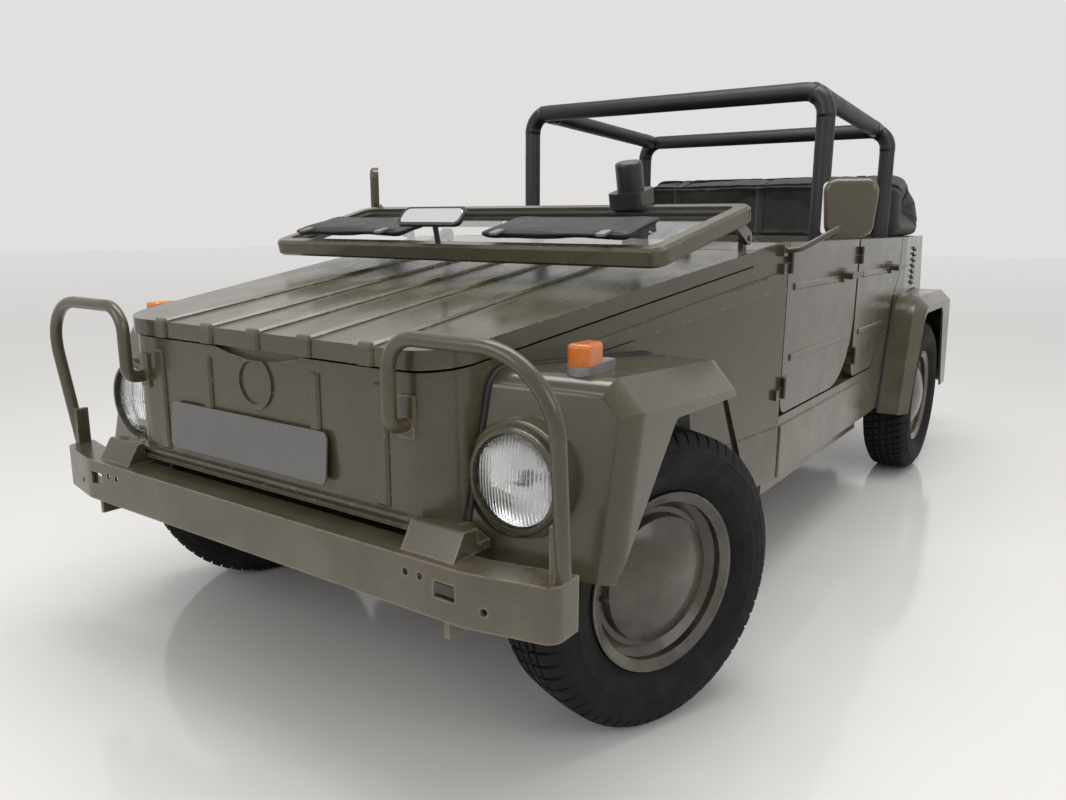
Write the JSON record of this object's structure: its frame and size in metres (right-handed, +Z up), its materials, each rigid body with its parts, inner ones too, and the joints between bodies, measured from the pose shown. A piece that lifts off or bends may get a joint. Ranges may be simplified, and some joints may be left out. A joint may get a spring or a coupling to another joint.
{
  "type": "open military utility car",
  "caption": "Open-topped army car with its windscreen folded on the bonnet, roll cage, tube guards on the bumper, opening doors, bonnet and engine lid, and steered front wheels.",
  "frame": {"origin": "on the ground at the centre of the bounding box's bottom face", "axes": "+X forward along the car, +Y to the car's left, +Z up"},
  "size_m": [3.78, 1.7658, 1.512],
  "materials": {
    "body_paint": "satin olive paint, chipped at the edges",
    "black_paint": "satin black paint",
    "tyre_rubber": "black rubber",
    "screen_glass": "clear glass",
    "lamp_glass": "fluted clear glass",
    "orange_lens": "orange lens",
    "red_lens": "red lens",
    "cage_padding": "black padded sleeve",
    "canvas": "dark folded canvas",
    "seat_cover": "black seat cover",
    "bare_metal": "dull metal",
    "plate_grey": "blank grey plate"
  },
  "bodies": {
    "body": {"floor_pan": "black_paint", "front_axle": "black_paint", "rear_axle": "black_paint", "engine_block": "bare_metal", "exhaust_silencer": "bare_metal", "nose_panel": "body_paint", "luggage_tub": "body_paint", "cowl_side_left": "body_paint", "cowl_side_right": "body_paint", "cowl_and_dash": "body_paint", "sill_left": "body_paint", "sill_right": "body_paint", "rear_quarter_left": "body_paint", "rear_quarter_right": "body_paint", "tail_body": "body_paint", "fender_front_left": "body_paint", "fender_front_right": "body_paint", "fender_rear_left": "body_paint", "fender_rear_right": "body_paint", "headlamp_rims": "body_paint", "headlamp_lenses": "lamp_glass", "indicators": "orange_lens", "indicator_bases": "plate_grey", "tail_lamps": "red_lens", "front_bumper": "body_paint", "bumper_guards": "body_paint", "rear_bumper": "body_paint", "number_plate": "plate_grey", "side_mirrors": "body_paint", "cage_front_hoop": "cage_padding", "cage_rear_hoop": "cage_padding", "cage_rails": "cage_padding", "folded_top": "canvas", "front_seats": "seat_cover", "rear_bench": "seat_cover", "steering_column": "black_paint", "driver_controls": "black_paint"},
    "door_front_left": {"door_front_left": "body_paint"},
    "door_front_right": {"door_front_right": "body_paint"},
    "door_rear_left": {"door_rear_left": "body_paint"},
    "door_rear_right": {"door_rear_right": "body_paint"},
    "bonnet": {"bonnet": "body_paint"},
    "engine_lid": {"engine_lid": "body_paint"},
    "steering_wheel": {"steering_wheel": "black_paint"},
    "track_rod": {"track_rod": "black_paint"},
    "knuckle_left": {"knuckle_left": "black_paint"},
    "knuckle_right": {"knuckle_right": "black_paint"},
    "windscreen": {"windscreen_frame": "body_paint", "windscreen_glass": "screen_glass", "sun_visors": "cage_padding", "inside_mirror": "black_paint", "wiper_motor": "black_paint"},
    "wheel_front_left": {"wheel_front_left": "body_paint", "tyre_front_left": "tyre_rubber"},
    "wheel_front_right": {"wheel_front_right": "body_paint", "tyre_front_right": "tyre_rubber"},
    "wheel_rear_left": {"wheel_rear_left": "body_paint", "tyre_rear_left": "tyre_rubber"},
    "wheel_rear_right": {"wheel_rear_right": "body_paint", "tyre_rear_right": "tyre_rubber"}
  },
  "joints": [
    {"name": "steer_left", "type": "hinge", "parent": "body", "child": "knuckle_left", "pos_m": [1.35, 0.612, 0.322], "axis": [0, 0, 1], "range_deg": [-8, 48]},
    {"name": "steer_right", "type": "hinge", "parent": "body", "child": "knuckle_right", "pos_m": [1.35, -0.612, 0.322], "axis": [0, 0, 1], "range_deg": [-8, 48]},
    {"name": "track_rod_pivot", "type": "hinge", "parent": "knuckle_left", "child": "track_rod", "pos_m": [1.22784, 0.65646, 0.283], "axis": [0, 0, 1], "range_deg": [-48, 8]},
    {"name": "steering_wheel_turn", "type": "hinge", "parent": "body", "child": "steering_wheel", "pos_m": [0.305, 0.34, 0.905], "axis": [-0.8499, 0, 0.5269], "range_deg": [-112, 672]},
    {"name": "wheel_front_left_spin", "type": "hinge", "parent": "knuckle_left", "child": "wheel_front_left", "pos_m": [1.37223, 0.67308, 0.322], "axis": [0.342, 0.9397, 0], "continuous": true},
    {"name": "wheel_front_right_spin", "type": "hinge", "parent": "knuckle_right", "child": "wheel_front_right", "pos_m": [1.32777, -0.67308, 0.322], "axis": [0.342, 0.9397, 0], "continuous": true},
    {"name": "wheel_rear_left_spin", "type": "hinge", "parent": "body", "child": "wheel_rear_left", "pos_m": [-1.05, 0.69, 0.322], "axis": [0, 1, 0], "continuous": true},
    {"name": "wheel_rear_right_spin", "type": "hinge", "parent": "body", "child": "wheel_rear_right", "pos_m": [-1.05, -0.69, 0.322], "axis": [0, 1, 0], "continuous": true},
    {"name": "door_front_left_hinge", "type": "hinge", "parent": "body", "child": "door_front_left", "pos_m": [0.533, 0.679, 0.771], "axis": [0, 0, -1], "range_deg": [0, 70]},
    {"name": "door_front_right_hinge", "type": "hinge", "parent": "body", "child": "door_front_right", "pos_m": [0.533, -0.679, 0.771], "axis": [0, 0, 1], "range_deg": [0, 70]},
    {"name": "door_rear_left_hinge", "type": "hinge", "parent": "body", "child": "door_rear_left", "pos_m": [-0.227, 0.679, 0.771], "axis": [0, 0, -1], "range_deg": [0, 70]},
    {"name": "door_rear_right_hinge", "type": "hinge", "parent": "body", "child": "door_rear_right", "pos_m": [-0.227, -0.679, 0.771], "axis": [0, 0, 1], "range_deg": [0, 70]},
    {"name": "bonnet_hinge", "type": "hinge", "parent": "body", "child": "bonnet", "pos_m": [0.712, 0, 1.01949], "axis": [0, -1, 0], "range_deg": [0, 50]},
    {"name": "windscreen_fold", "type": "hinge", "parent": "bonnet", "child": "windscreen", "pos_m": [0.712, 0, 1.01949], "axis": [0, 1, 0], "range_deg": [-124, 0]},
    {"name": "engine_lid_hinge", "type": "hinge", "parent": "body", "child": "engine_lid", "pos_m": [-1.6003, 0, 0.9449], "axis": [0, 1, 0], "range_deg": [0, 60]}
  ],
  "couplings": [
    {"joint": "steer_right", "follows": "steer_left", "ratio": 1},
    {"joint": "track_rod_pivot", "follows": "steer_left", "ratio": -1},
    {"joint": "steering_wheel_turn", "follows": "steer_left", "ratio": 14}
  ]
}
